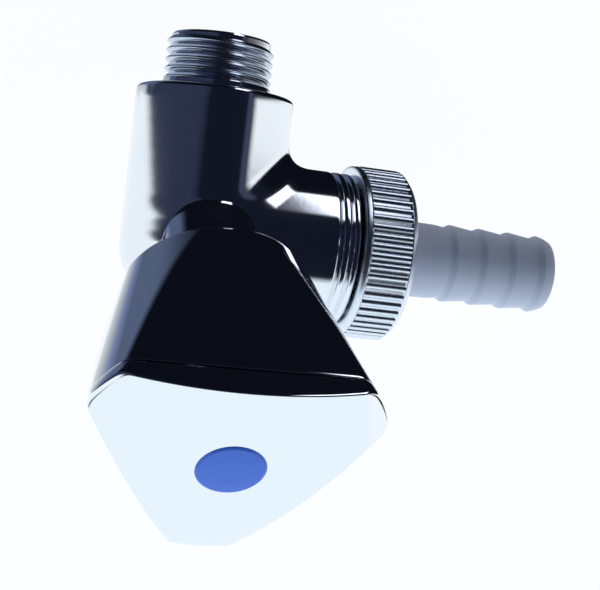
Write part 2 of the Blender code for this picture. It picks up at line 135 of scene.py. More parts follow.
class RingSurface:
    """A surface built ring by ring round a local Z axis, in millimetres."""

    def __init__(self, segments: int) -> None:
        """Start an empty surface with that many points round each ring."""
        self.segments = segments
        self.angles = np.linspace(0.0, math.tau, segments, endpoint=False)
        self.rings: list[np.ndarray] = []

    def add(self, radius: float | np.ndarray, along: float | np.ndarray) -> None:
        """Add a ring, whose radius and station may change round it."""
        reach = np.broadcast_to(np.asarray(radius, float), self.angles.shape)
        height = np.broadcast_to(np.asarray(along, float), self.angles.shape)
        self.rings.append(np.stack((reach * np.cos(self.angles), reach * np.sin(self.angles), height), 1))

    def follow(self, outline: list[tuple[float, float]]) -> "RingSurface":
        """Add a plain ring for each (radius, along) point and return the surface."""
        for radius, along in outline:
            self.add(max(radius, 0.0), along)
        return self

    def build(self, name: str, placement: Matrix, closed: bool = False) -> bpy.types.Mesh:
        """Join the rings into a smooth mesh.

        Args:
            name: Name of the mesh.
            placement: Takes the rings' coordinates to the frame.
            closed: Whether the last ring joins the first, as on a tube's wall.

        Returns:
            The mesh, with its faces pointing outwards.
        """
        mesh = bmesh.new()
        rows = []
        for ring in self.rings:
            if np.abs(ring[:, :2]).max() < 1e-9:
                rows.append([mesh.verts.new(ring[0])] * self.segments)
            else:
                rows.append([mesh.verts.new(point) for point in ring])
        for here, there in zip(rows, rows[1:] + rows[:1] if closed else rows[1:]):
            for index in range(self.segments):
                after = (index + 1) % self.segments
                loop = dict.fromkeys((here[index], here[after], there[after], there[index]))
                if len(loop) > 2:
                    mesh.faces.new(loop)
        mesh.transform(placement)
        bmesh.ops.recalc_face_normals(mesh, faces=mesh.faces)
        data = bpy.data.meshes.new(name)
        mesh.to_mesh(data)
        mesh.free()
        data.shade_smooth()
        return data


def turned(name: str, corners: list[Corner], axis: Axis, segments: int = 96) -> bpy.types.Mesh:
    """Turn a closed outline round an axis of the valve, with all its fillets.

    Args:
        name: Name of the mesh.
        corners: The outline. It closes on itself unless it starts on the axis.
        axis: The axis of the valve that it is turned round.
        segments: Points round each ring.

    Returns:
        The mesh, in place in the frame.
    """
    hollow = corners[0][0] > 0.0
    outline = soften(corners, closed=hollow)
    return RingSurface(segments).follow(outline).build(name, axis.placement(), closed=hollow)


# ---------------------------------------------------------------- finishes


class NodeBench:
    """Adds and joins the nodes of one tree."""

    def __init__(self, tree: bpy.types.NodeTree) -> None:
        """Keep the tree that the nodes go into."""
        self.tree = tree

    def add(self, kind: str, inputs: dict | None = None, **settings: object) -> bpy.types.Node:
        """Add a node.

        Args:
            kind: The node's type name.
            inputs: A value, or the socket that feeds it, for each named input.
            settings: Properties of the node itself.

        Returns:
            The new node.
        """
        node = self.tree.nodes.new(kind)
        for name, value in settings.items():
            setattr(node, name, value)
        for name, value in (inputs or {}).items():
            if isinstance(value, bpy.types.NodeSocket):
                self.tree.links.new(value, node.inputs[name])
            else:
                node.inputs[name].default_value = value
        return node

    def join(self, source: bpy.types.NodeSocket, target: bpy.types.NodeSocket) -> None:
        """Link one socket to another."""
        self.tree.links.new(source, target)


@dataclass(frozen=True)
class Finish:
    """A surface finish: its base look, and how far grain changes its tone, gloss and relief."""

    name: str
    colour: Triple
    roughness: float
    metallic: float = 0.0
    tone_spread: float = 0.04
    gloss_spread: float = 0.03
    grain: float = 900.0
    relief: float = 0.0
    coat: float = 0.0
    specular: float = 0.5
    stretch: Triple = (1.0, 1.0, 1.0)

    def material(self) -> bpy.types.Material:
        """Make the finish's node material, or return it if it has been made."""
        made = bpy.data.materials.get(self.name)
        if made is not None:
            return made
        made = bpy.data.materials.new(self.name)
        made.use_nodes = True
        made.diffuse_color = (*self.colour, 1.0)
        shader = made.node_tree.nodes["Principled BSDF"]
        shader.inputs["Metallic"].default_value = self.metallic
        shader.inputs["Coat Weight"].default_value = self.coat
        shader.inputs["Specular IOR Level"].default_value = self.specular
        self.weave(NodeBench(made.node_tree), shader)
        return made

    def weave(self, bench: NodeBench, shader: bpy.types.Node) -> None:
        """Drive tone, gloss and relief from grain in the piece's own coordinates."""
        place = bench.add("ShaderNodeTexCoord").outputs["Object"]
        scaled = bench.add("ShaderNodeMapping", {"Vector": place, "Scale": self.stretch}).outputs["Vector"]
        clouds = bench.add("ShaderNodeTexNoise", {"Vector": scaled, "Scale": self.grain / 9.0, "Detail": 3.0})
        grain = bench.add("ShaderNodeTexNoise", {"Vector": scaled, "Scale": self.grain, "Detail": 2.0})
        dark = tuple(value * (1.0 - self.tone_spread) for value in self.colour)
        light = tuple(min(value * (1.0 + self.tone_spread), 1.0) for value in self.colour)
        tone = bench.add("ShaderNodeMix", {"Factor": clouds.outputs["Fac"]}, data_type="RGBA")
        tone.inputs["A"].default_value = (*dark, 1.0)
        tone.inputs["B"].default_value = (*light, 1.0)
        bench.join(tone.outputs["Result"], shader.inputs["Base Color"])
        low, high = max(self.roughness - self.gloss_spread, 0.01), self.roughness + self.gloss_spread
        gloss = bench.add("ShaderNodeMapRange", {
            "Value": clouds.outputs["Fac"], "To Min": low, "To Max": high})
        bench.join(gloss.outputs["Result"], shader.inputs["Roughness"])
        if self.relief > 0.0:
            bump = bench.add("ShaderNodeBump", {"Height": grain.outputs["Fac"], "Strength": self.relief})
            bump.inputs["Distance"].default_value = 0.1 * MM
            bench.join(bump.outputs["Normal"], shader.inputs["Normal"])


@dataclass(frozen=True)
class LatheMarks(Finish):
    """A turned metal finish, with fine tool rings round the axis of the piece."""

    axis: Axis = HEADWORK
    pitch: float = 0.35

    def weave(self, bench: NodeBench, shader: bpy.types.Node) -> None:
        """Add tool rings, as bands along the axis, to the plain grain."""
        super().weave(bench, shader)
        place = bench.add("ShaderNodeTexCoord").outputs["Object"]
        onto = bench.add("ShaderNodeVectorMath", {0: place, 1: self.axis.along}, operation="DOT_PRODUCT")
        phase = bench.add("ShaderNodeMath", {0: onto.outputs["Value"], 1: math.tau / (self.pitch * MM)},
                          operation="MULTIPLY")
        rings = bench.add("ShaderNodeMath", {0: phase.outputs["Value"]}, operation="SINE")
        bump = bench.add("ShaderNodeBump", {"Height": rings.outputs["Value"], "Strength": 0.12})
        bump.inputs["Distance"].default_value = 0.05 * MM
        bench.join(bump.outputs["Normal"], shader.inputs["Normal"])


HANDLE_PLATE = Finish("handle_chrome_plate", (0.90, 0.93, 0.97), 0.035, 1.0, 0.01, 0.012, 350.0)
BODY_PLATE = Finish("body_chrome_plate", (0.86, 0.89, 0.95), 0.085, 1.0, 0.02, 0.02, 500.0, 0.03)
NUT_PLATE = Finish("nut_chrome_plate", (0.83, 0.89, 0.99), 0.27, 1.0, 0.03, 0.03, 900.0, 0.04)
# The threads' chrome is the body's plating with a darker colour: painted shade, so the threads read darker
# than their reflections alone make them. The higher roughness is the threads' own.
SHADED_THREAD_PLATE = Finish("thread_chrome_painted_shade", (0.62, 0.68, 0.80), 0.22, 1.0, 0.03, 0.03, 900.0, 0.04)
NOZZLE_PLASTIC = Finish("nozzle_satin_plastic", (0.56, 0.63, 0.80), 0.42, 0.0, 0.03, 0.05, 1400.0, 0.10)
BLUE_ENAMEL = Finish("index_blue_gloss", (0.065, 0.195, 0.84), 0.2, 0.0, 0.03, 0.03, 700.0, 0.02, 0.0, 0.35)
HEADWORK_BRASS = LatheMarks("headwork_brass", (0.78, 0.58, 0.28), 0.26, 1.0, 0.06, 0.05, 700.0)
SPINDLE_STEEL = LatheMarks("spindle_steel", (0.60, 0.61, 0.63), 0.24, 1.0, 0.04, 0.04, 900.0)
SEAL_RUBBER = Finish("seal_rubber", (0.022, 0.022, 0.024), 0.62, 0.0, 0.25, 0.08, 1800.0, 0.35)
RED_FIBRE = Finish("gasket_fibre", (0.42, 0.09, 0.06), 0.82, 0.0, 0.22, 0.08, 2600.0, 0.5, stretch=(1, 4, 1))
SLIP_PLASTIC = Finish("slip_washer_plastic", (0.86, 0.86, 0.83), 0.38, 0.0, 0.02, 0.05, 1200.0, 0.08)
CARTRIDGE_PLASTIC = Finish("cartridge_plastic", (0.82, 0.83, 0.81), 0.34, 0.0, 0.03, 0.05, 1200.0, 0.10)
POPPET_PLASTIC = Finish("poppet_plastic", (0.08, 0.36, 0.22), 0.38, 0.0, 0.05, 0.05, 1200.0, 0.10)

SLOT_FINISHES = {
    "brass": HEADWORK_BRASS,
    "steel": SPINDLE_STEEL,
    "rubber": SEAL_RUBBER,
    "fibre": RED_FIBRE,
    "slip_plastic": SLIP_PLASTIC,
    "cartridge_plastic": CARTRIDGE_PLASTIC,
    "poppet_plastic": POPPET_PLASTIC,
}


# ---------------------------------------------------------------- showing a piece


def show(name: str, mesh: bpy.types.Mesh, finish: Finish, body: Body, slot: str, *nodes: str) -> Piece:
    """Link a finished mesh as a piece of the valve.

    Args:
        name: Name of the piece.
        mesh: Its mesh, already in place in the frame.
        finish: Its finish.
        body: The body that it rides on.
        slot: The record's material slot. It is not used.
        nodes: The CAD nodes that it stands for.

    Returns:
        The piece.
    """
    piece = bpy.data.objects.new(name, mesh)
    bpy.context.collection.objects.link(piece)
    mesh.materials.clear()
    mesh.materials.append(finish.material())
    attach(piece, body.value)
    if nodes:
        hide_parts(*nodes)
    log.info("%s rides on %s: %d faces", name, body.value, len(mesh.polygons))
    return piece


# ---------------------------------------------------------------- repeated shapes


class Growth:
    """A geometry node tree with named sizes, which grows ribs or threads on a base mesh."""

    def __init__(self, name: str, sizes: dict[str, float]) -> None:
        """Open a tree with a geometry input, one float input for each size, and a finish input."""
        self.tree = bpy.data.node_groups.new(name, "GeometryNodeTree")
        panel = self.tree.interface
        panel.new_socket("Geometry", in_out="INPUT", socket_type="NodeSocketGeometry")
        panel.new_socket("Geometry", in_out="OUTPUT", socket_type="NodeSocketGeometry")
        self.sockets = {}
        for label, value in sizes.items():
            socket = panel.new_socket(label, in_out="INPUT", socket_type="NodeSocketFloat")
            socket.default_value = value
            self.sockets[label] = socket.identifier
        self.sockets["Finish"] = panel.new_socket(
            "Finish", in_out="INPUT", socket_type="NodeSocketMaterial").identifier
        self.bench = NodeBench(self.tree)
        self.sizes = self.bench.add("NodeGroupInput").outputs

    def close(self, grown: bpy.types.NodeSocket) -> None:
        """End the tree: join the base and the grown geometry, realize them and set the finish."""
        joined = self.bench.add("GeometryNodeJoinGeometry")
        self.bench.join(grown, joined.inputs["Geometry"])
        self.bench.join(self.sizes["Geometry"], joined.inputs["Geometry"])
        real = self.bench.add("GeometryNodeRealizeInstances", {"Geometry": joined.outputs["Geometry"]})
        dressed = self.bench.add("GeometryNodeSetMaterial", {"Geometry": real.outputs["Geometry"]})
        self.bench.join(self.sizes["Finish"], dressed.inputs["Material"])
        self.bench.add("NodeGroupOutput", {"Geometry": dressed.outputs["Geometry"]})

    def grow(self, base: bpy.types.Mesh, finish: Finish, sizes: dict[str, float]) -> bpy.types.Mesh:
        """Grow the shape on a base mesh.

        Args:
            base: The mesh that carries it, on its local axis and in metres.
            finish: The finish of the whole piece.
            sizes: A value for each size that differs from the tree's own.

        Returns:
            One plain mesh.
        """
        holder = bpy.data.objects.new(base.name, base)
        bpy.context.collection.objects.link(holder)
        step = holder.modifiers.new(self.tree.name, "NODES")
        step.node_group = self.tree
        for label, value in sizes.items():
            step[self.sockets[label]] = value
        step[self.sockets["Finish"]] = finish.material()
        evaluated = holder.evaluated_get(bpy.context.evaluated_depsgraph_get())
        grown = bpy.data.meshes.new_from_object(evaluated)
        holder.modifiers.remove(step)
        bpy.data.objects.remove(holder)
        return grown


def thread_growth() -> Growth:
    """A tree that winds a V-shaped thread round the local Z axis, fading out at both ends."""
    growth = Growth("wound_thread", {"Core": 9.3 * MM, "Depth": 1.16 * MM, "Width": 1.7 * MM,
                                     "Turns": 5.0, "Length": 9.0 * MM, "Start": 0.0, "Fade": 10.0})
    bench, sizes = growth.bench, growth.sizes
    helix = bench.add("GeometryNodeCurveSpiral", {
        "Resolution": 96, "Rotations": sizes["Turns"], "Start Radius": sizes["Core"],
        "End Radius": sizes["Core"], "Height": sizes["Length"]})
    upright = bench.add("GeometryNodeSetCurveNormal", {"Curve": helix.outputs["Curve"]}, mode="Z_UP")
    factor = bench.add("GeometryNodeSplineParameter").outputs["Factor"]
    remaining = bench.add("ShaderNodeMath", {0: 1.0, 1: factor}, operation="SUBTRACT").outputs["Value"]
    nearer = bench.add("ShaderNodeMath", {0: factor, 1: remaining}, operation="MINIMUM").outputs["Value"]
    faded = bench.add("ShaderNodeMath", {0: nearer, 1: sizes["Fade"]}, operation="MULTIPLY", use_clamp=True)
    ridge = bench.add("GeometryNodeSetCurveRadius", {
        "Curve": upright.outputs["Curve"], "Radius": faded.outputs["Value"]})
    double = bench.add("ShaderNodeMath", {0: sizes["Depth"], 1: 2.0}, operation="MULTIPLY").outputs["Value"]
    half = bench.add("ShaderNodeMath", {0: sizes["Width"], 1: 0.5}, operation="MULTIPLY").outputs["Value"]
    flanks = bench.add("GeometryNodeCurvePrimitiveQuadrilateral", mode="KITE")
    bench.join(double, flanks.inputs["Width"])
    bench.join(half, flanks.inputs["Bottom Height"])
    bench.join(half, flanks.inputs["Top Height"])
    crest = bench.add("GeometryNodeFilletCurve", {
        "Curve": flanks.outputs["Curve"], "Count": 2, "Radius": 0.16 * MM}, mode="POLY")
    sweep = bench.add("GeometryNodeCurveToMesh", {
        "Curve": ridge.outputs["Curve"], "Profile Curve": crest.outputs["Curve"], "Fill Caps": True})
    lift = bench.add("ShaderNodeCombineXYZ", {"Z": sizes["Start"]}).outputs["Vector"]
    moved = bench.add("GeometryNodeTransform", {"Geometry": sweep.outputs["Mesh"], "Translation": lift})
    growth.close(moved.outputs["Geometry"])
    return growth


def knurl_growth() -> Growth:
    """A tree that sets straight ribs side by side round the local Z axis."""
    growth = Growth("straight_knurl", {"Ribs": 54.0, "Circle": 16.1 * MM, "Rib": 0.8 * MM,
                                       "Length": 8.0 * MM, "Middle": 33.7 * MM})
    bench, sizes = growth.bench, growth.sizes
    circle = bench.add("GeometryNodeMeshCircle", {"Vertices": sizes["Ribs"], "Radius": sizes["Circle"]})
    rib = bench.add("GeometryNodeMeshCylinder", {
        "Vertices": 14, "Side Segments": 1, "Radius": sizes["Rib"], "Depth": sizes["Length"]})
    smooth = bench.add("GeometryNodeSetShadeSmooth", {"Geometry": rib.outputs["Mesh"]})
    ribs = bench.add("GeometryNodeInstanceOnPoints", {
        "Points": circle.outputs["Mesh"], "Instance": smooth.outputs["Geometry"]})
    lift = bench.add("ShaderNodeCombineXYZ", {"Z": sizes["Middle"]}).outputs["Vector"]
    moved = bench.add("GeometryNodeTransform", {"Geometry": ribs.outputs["Instances"], "Translation": lift})
    growth.close(moved.outputs["Geometry"])
    return growth


# ---------------------------------------------------------------- casting


Distance = tuple[np.ndarray, np.ndarray]


def rounded_union(first: Distance, second: Distance, reach: float) -> Distance:
    """Unite two solids with a fillet where their surfaces cross, and none where they run together.

    Args:
        first: Distances and directions from the first solid.
        second: The same from the second.
        reach: How far from a right-angled corner the fillet starts.

    Returns:
        Distances and directions from the united solid.
    """
    crossing = np.sqrt(np.clip(1.0 - np.sum(first[1] * second[1], axis=1), 0.0, 1.0))
    width = np.maximum(reach * crossing, 1e-6)
    share = np.clip(0.5 + 0.5 * (second[0] - first[0]) / width, 0.0, 1.0)
    united = second[0] + (first[0] - second[0]) * share - width * share * (1.0 - share)
    return united, second[1] + (first[1] - second[1]) * share[:, None]


def net_surface(values: np.ndarray, corner: np.ndarray, cell: float) -> tuple[np.ndarray, np.ndarray]:
    """Wrap the zero surface of a grid of distances in a net of quads.

    Args:
        values: Distances at the grid's points.
        corner: The grid's lowest point.
        cell: Distance between neighbouring points.

    Returns:
        The net's points and its quads.
    """
    inside = values < 0.0
    cells = tuple(size - 1 for size in values.shape)
    total = int(np.prod(cells))
    sums, hits, quads = np.zeros((total, 3)), np.zeros(total), []
    for axis in range(3):
        low = tuple(slice(None, -1) if a == axis else slice(None) for a in range(3))
        high = tuple(slice(1, None) if a == axis else slice(None) for a in range(3))
        edges = np.argwhere(inside[low] != inside[high])
        first = values[low][tuple(edges.T)]
        second = values[high][tuple(edges.T)]
        places = edges.astype(float)
        places[:, axis] += first / (first - second)
        side, over = (axis + 1) % 3, (axis + 2) % 3
        keep = (edges[:, side] > 0) & (edges[:, over] > 0)
        keep &= (edges[:, side] < cells[side]) & (edges[:, over] < cells[over])
        edges, places, falling = edges[keep], places[keep], (first > 0.0)[keep]
        around = []
        for step_side, step_over in ((1, 1), (0, 1), (0, 0), (1, 0)):
            neighbour = edges.copy()
            neighbour[:, side] -= step_side
            neighbour[:, over] -= step_over
            index = np.ravel_multi_index(tuple(neighbour.T), cells)
            np.add.at(sums, index, places)
            np.add.at(hits, index, 1.0)
            around.append(index)
        quad = np.stack(around, 1)
        quad[falling] = quad[falling][:, ::-1]
        quads.append(quad)
    used = np.flatnonzero(hits)
    renumber = np.full(total, -1)
    renumber[used] = np.arange(len(used))
    return corner + cell * sums[used] / hits[used][:, None], renumber[np.concatenate(quads)]


@dataclass
class Casting:
    """The forged body: barrel, bonnet boss and outlet branch, flowing into each other.

    Its middle is netted from distances. From each mouth on, its ends are turned.
    """

    shoulder: float = -10.7
    inlet_radius: float = 9.55
    barrel_radius: float = 15.2
    barrel_round_start: float = -41.0
    barrel_round_depth: float = 12.5
    branch_radius: float = 15.0
    branch_end: float = 28.0
    grooves: tuple[float, float] = (24.25, 26.35)
    groove_half: float = 0.5
    groove_depth: float = 0.8
    spigot_radius: float = 12.1
    spigot_end: float = 32.6
    boss_radius: float = 10.8
    boss_end: float = 23.5
    neck_radius: float = 9.5
    neck_end: float = 13.4
    neck_flare: float = 1.6
    boss_start: float = 1.0
    branch_fillet: float = 5.0
    boss_fillet: float = 0.8
    net_low: Triple = (-17.0, -66.0, -17.0)
    net_high: Triple = (26.0, -10.0, 34.0)
    cell: float = 0.45
    settlings: int = 3
    inlet_mouth: float = -14.5
    branch_mouth: float = 22.4
    boss_mouth: float = 20.2
    segments: int = 120
    thread: "Growth" = field(default_factory=thread_growth)

    def barrel(self, points: np.ndarray) -> Distance:
        """Distance and direction from the barrel with its rounded end."""
        depth = np.minimum(points[:, 1] - self.barrel_round_start, 0.0)
        offset = np.stack((points[:, 0], depth, points[:, 2]), 1)
        sizes = np.array((self.barrel_radius, self.barrel_round_depth, self.barrel_radius))
        reach = np.linalg.norm(offset / sizes, axis=1) + 1e-9
        slope = offset / sizes**2
        steep = np.linalg.norm(slope, axis=1) + 1e-9
        return reach * (reach - 1.0) / steep, slope / steep[:, None]

    def spoke(self, points: np.ndarray, axis: Axis, start: float, radius: float) -> Distance:
        """Distance and direction from a round branch that starts with a hidden round end."""
        local = (points - np.array(axis.origin)) @ axis.turn().T
        offset = np.stack((local[:, 0], local[:, 1], np.minimum(local[:, 2] - start, 0.0)), 1)
        reach = np.linalg.norm(offset, axis=1) + 1e-9
        return reach - radius, offset / reach[:, None] @ axis.turn()

    def boss(self, points: np.ndarray) -> Distance:
        """Distance and direction from the bonnet boss, which flares out from a slimmer neck."""
        station = (points - np.array(HEADWORK.origin)) @ np.array(HEADWORK.along)
        share = np.clip((station - self.neck_end) / self.neck_flare, 0.0, 1.0)
        wider = (self.boss_radius - self.neck_radius) * share * share * (3.0 - 2.0 * share)
        away, direction = self.spoke(points, HEADWORK, self.boss_start, self.neck_radius)
        return away - wider, direction

    def outside(self, points: np.ndarray) -> np.ndarray:
        """Distance of each point from the casting's outer surface, before its ends are turned."""
        branch = self.spoke(points, OUTLET, 0.0, self.branch_radius)
        cross = rounded_union(self.barrel(points), branch, self.branch_fillet)
        return rounded_union(cross, self.boss(points), self.boss_fillet)[0]

    def elbow(self) -> bmesh.types.BMesh:
        """Net the outer surface and draw every point of the net onto it, in millimetres."""
        low = np.array(self.net_low)
        counts = np.ceil((np.array(self.net_high) - low) / self.cell).astype(int)
        grid = np.stack(np.meshgrid(*(np.arange(n) for n in counts), indexing="ij"), -1)
        flat = low + self.cell * grid.reshape(-1, 3)
        values = np.concatenate([self.outside(part) for part in np.array_split(flat, NET_SLICES)])
        points, quads = net_surface(values.reshape(counts), low, self.cell)
        step = 0.01
        for _ in range(self.settlings):
            slope = np.stack([self.outside(points + step * unit) - self.outside(points - step * unit)
                              for unit in np.eye(3)], 1) / (2.0 * step)
            points -= slope * (self.outside(points) / (slope**2).sum(1))[:, None]
        mesh = bmesh.new()
        corners = [mesh.verts.new(point) for point in points]
        for quad in quads:
            mesh.faces.new([corners[index] for index in quad])
        return mesh

    def finish_mouth(self, mesh: bmesh.types.BMesh, axis: Axis, mouth: float, corners: list[Corner]) -> None:
        """Cut the netted surface square at a mouth and turn its end on from there.

        Args:
            mesh: The netted surface.
            axis: The axis of the end.
            mouth: Station of the cut.
            corners: The end's outline, from just past the mouth to the axis.
        """
        turn, origin = axis.turn(), np.array(axis.origin)
        sign = 1.0 if corners[0][1] > mouth else -1.0
        parts = list(mesh.verts) + list(mesh.edges) + list(mesh.faces)
        bmesh.ops.bisect_plane(mesh, geom=parts, plane_co=origin + turn[2] * mouth,
                               plane_no=turn[2] * sign, clear_outer=True, dist=0.02)
        rim = {}
        for edge in mesh.edges:
            if edge.is_boundary:
                for vert in edge.verts:
                    local = turn @ (np.array(vert.co) - origin)
                    if abs(local[2] - mouth) < ON_PLANE:
                        rim[vert] = math.atan2(local[1], local[0])
        near = sorted(rim, key=rim.get)
        angles = [rim[vert] for vert in near]
        surface = RingSurface(self.segments)
        surface.follow(soften(corners))
        rows = []
        for ring in surface.rings:
            spots = ring @ turn + origin
            if np.abs(ring[:, :2]).max() < 1e-9:
                rows.append([mesh.verts.new(spots[0])] * self.segments)
            else:
                rows.append([mesh.verts.new(spot) for spot in spots])
        self.zip_rim(mesh, near, angles, rows[0], surface.angles)
        for here, there in zip(rows, rows[1:]):
            for index in range(self.segments):
                after = (index + 1) % self.segments
                loop = dict.fromkeys((here[index], here[after], there[after], there[index]))
                mesh.faces.new(loop)

    def zip_rim(self, mesh: bmesh.types.BMesh, near: list, angles: list[float], far: list,
                far_angles: np.ndarray) -> None:
        """Fill the strip between a rim and a turned ring with triangles, in order of angle."""
        turns = [(angle - angles[0]) % math.tau for angle in angles] + [math.tau]
        start = int(np.argmin([(angle - angles[0]) % math.tau for angle in far_angles]))
        order = [(start + index) % len(far) for index in range(len(far) + 1)]
        far_turns = [(far_angles[index] - angles[0]) % math.tau for index in order[:-1]]
        far_turns.append(far_turns[0] + math.tau)
        left, right = 0, 0
        while left < len(near) or right < len(far):
            step_left = right >= len(far) or (
                left < len(near) and turns[left + 1] <= far_turns[min(right + 1, len(far))])
            here, there = near[left % len(near)], far[order[right]]
            if step_left:
                left += 1
                mesh.faces.new((here, near[left % len(near)], there))
            else:
                right += 1
                mesh.faces.new((here, far[order[right]], there))

    def solid(self) -> bpy.types.Object:
        """The whole outer form as one closed solid, in the frame."""
        mesh = self.elbow()
        inlet = [(self.barrel_radius, self.inlet_mouth + 0.7, 0.0), (self.barrel_radius, self.shoulder, 0.9),
                 (10.5, self.shoulder, 1.4), (10.4, -9.0, 0.4), (self.inlet_radius, -8.6, 0.2),
                 (self.inlet_radius, -0.4, 0.2), (9.3, 0.0, 0.1), (0.0, 0.0, 0.0)]
        self.finish_mouth(mesh, INLET, self.inlet_mouth, inlet)
        self.finish_mouth(mesh, HEADWORK, self.boss_mouth, [
            (self.boss_radius, self.boss_mouth + 0.6, 0.0), (self.boss_radius, self.boss_end, 0.5),
            (0.0, self.boss_end, 0.0)])
        branch = [(self.branch_radius, self.branch_mouth + 0.6, 0.0)]
        for groove in self.grooves:
            branch += [(self.branch_radius, groove - self.groove_half, 0.5),
                       (self.branch_radius - self.groove_depth, groove, 0.12),
                       (self.branch_radius, groove + self.groove_half, 0.5)]
        branch += [(self.branch_radius, self.branch_end, 0.5), (self.spigot_radius, self.branch_end, 0.3),
                   (self.spigot_radius, self.spigot_end - 0.3, 0.2),
                   (self.spigot_radius - 0.5, self.spigot_end, 0.1), (0.0, self.spigot_end, 0.0)]
        self.finish_mouth(mesh, OUTLET, self.branch_mouth, branch)
        bmesh.ops.recalc_face_normals(mesh, faces=mesh.faces)
        mesh.transform(Matrix.Scale(MM, 4))
        data = bpy.data.meshes.new("casting_form")
        mesh.to_mesh(data)
        mesh.free()
        form = bpy.data.objects.new("casting_form", data)
        bpy.context.collection.objects.link(form)
        return form

    def bores(self) -> list[bpy.types.Mesh]:
        """The drilled and cored spaces inside the casting."""
        inlet = turned("inlet_bore", [
            (0, 2, 0), (8.6, 2, 0), (6.8, -0.6, 0.2), (6.8, -18.0, 0.4), (5.5, -19.3, 0.4), (5.5, -32.0, 0),
            (0, -32.0, 0)], INLET, 72)
        headwork = turned("headwork_bore", [
            (0, -8.0, 0), (4.2, -8.0, 0), (4.2, 3.5, 0.15), (5.4, 3.5, 0.15), (6.0, 2.5, 0.3),
            (8.2, 2.5, 0.6), (8.2, 13.5, 0.2), (8.63, 14.1, 0.2), (8.63, 24.5, 0), (0, 24.5, 0)],
            HEADWORK, 72)
        outlet = turned("outlet_bore", [
            (0, 7.0, 0), (6.5, 7.0, 0), (6.5, 16.8, 0.2), (10.0, 16.8, 0.3), (10.0, 31.9, 0.1),
            (10.8, 33.6, 0), (0, 33.6, 0)], OUTLET, 72)
        passage_axis = Axis((0.0, -40.4, 5.9), OUTLET.across, OUTLET.up, OUTLET.along)
        passage = turned("chamber_passage", [(0, 6.6, 0), (4.0, 6.6, 0), (4.0, 14.0, 0), (0, 14.0, 0)],
                         passage_axis, 48)
        return [inlet, headwork, outlet, passage]

    def drilled(self, form: bpy.types.Object) -> bpy.types.Mesh:
        """Cut the bores out of the form."""
        tools = bpy.data.collections.new("casting_bores")
        cutters = []
        for mesh in self.bores():
            cutter = bpy.data.objects.new(mesh.name, mesh)
            tools.objects.link(cutter)
            cutters.append(cutter)
        bpy.context.scene.collection.children.link(tools)
        step = form.modifiers.new("bores", "BOOLEAN")
        step.operation, step.solver = "DIFFERENCE", "EXACT"
        step.operand_type, step.collection = "COLLECTION", tools
        evaluated = form.evaluated_get(bpy.context.evaluated_depsgraph_get())
        mesh = bpy.data.meshes.new_from_object(evaluated)
        for cutter in cutters:
            bpy.data.objects.remove(cutter)
        bpy.data.collections.remove(tools)
        bpy.data.objects.remove(form)
        return mesh

    def threads(self) -> list[bpy.types.Mesh]:
        """The inlet's and the spigot's wound threads, in the frame."""
        inlet = {"Core": self.inlet_radius - 0.05, "Depth": 0.97, "Width": 1.74, "Turns": 4.65,
                 "Length": 8.4, "Start": -9.25, "Fade": 22.0}
        spigot = {"Core": self.spigot_radius - 0.02, "Depth": 1.12, "Width": 1.72, "Turns": 1.7,
                  "Length": 3.0, "Start": self.branch_end + 1.0}
        wound = []
        for name, axis, sizes in (("inlet_thread", INLET, inlet), ("spigot_thread", OUTLET, spigot)):
            sizes = {label: value if label in ("Turns", "Fade") else value * MM
                     for label, value in sizes.items()}
            # The threads take the darker chrome, whose colour is painted shade.
            mesh = self.thread.grow(bpy.data.meshes.new(name), SHADED_THREAD_PLATE, sizes)
            mesh.transform(Matrix.Scale(1 / MM, 4))
            mesh.transform(axis.placement())
            mesh.shade_smooth()
            wound.append(mesh)
        return wound

    def build(self) -> None:
        """Make the casting with its bores and threads."""
        mesh = self.drilled(self.solid())
        mesh.shade_smooth()
        mesh.set_sharp_from_angle(angle=math.radians(40.0))
        show("casting", mesh, BODY_PLATE, Body.CASTING, "body_chrome", "valve_body")
        for thread in self.threads():
            show(thread.name, thread, SHADED_THREAD_PLATE, Body.CASTING, "body_chrome")


# ---------------------------------------------------------------- handle


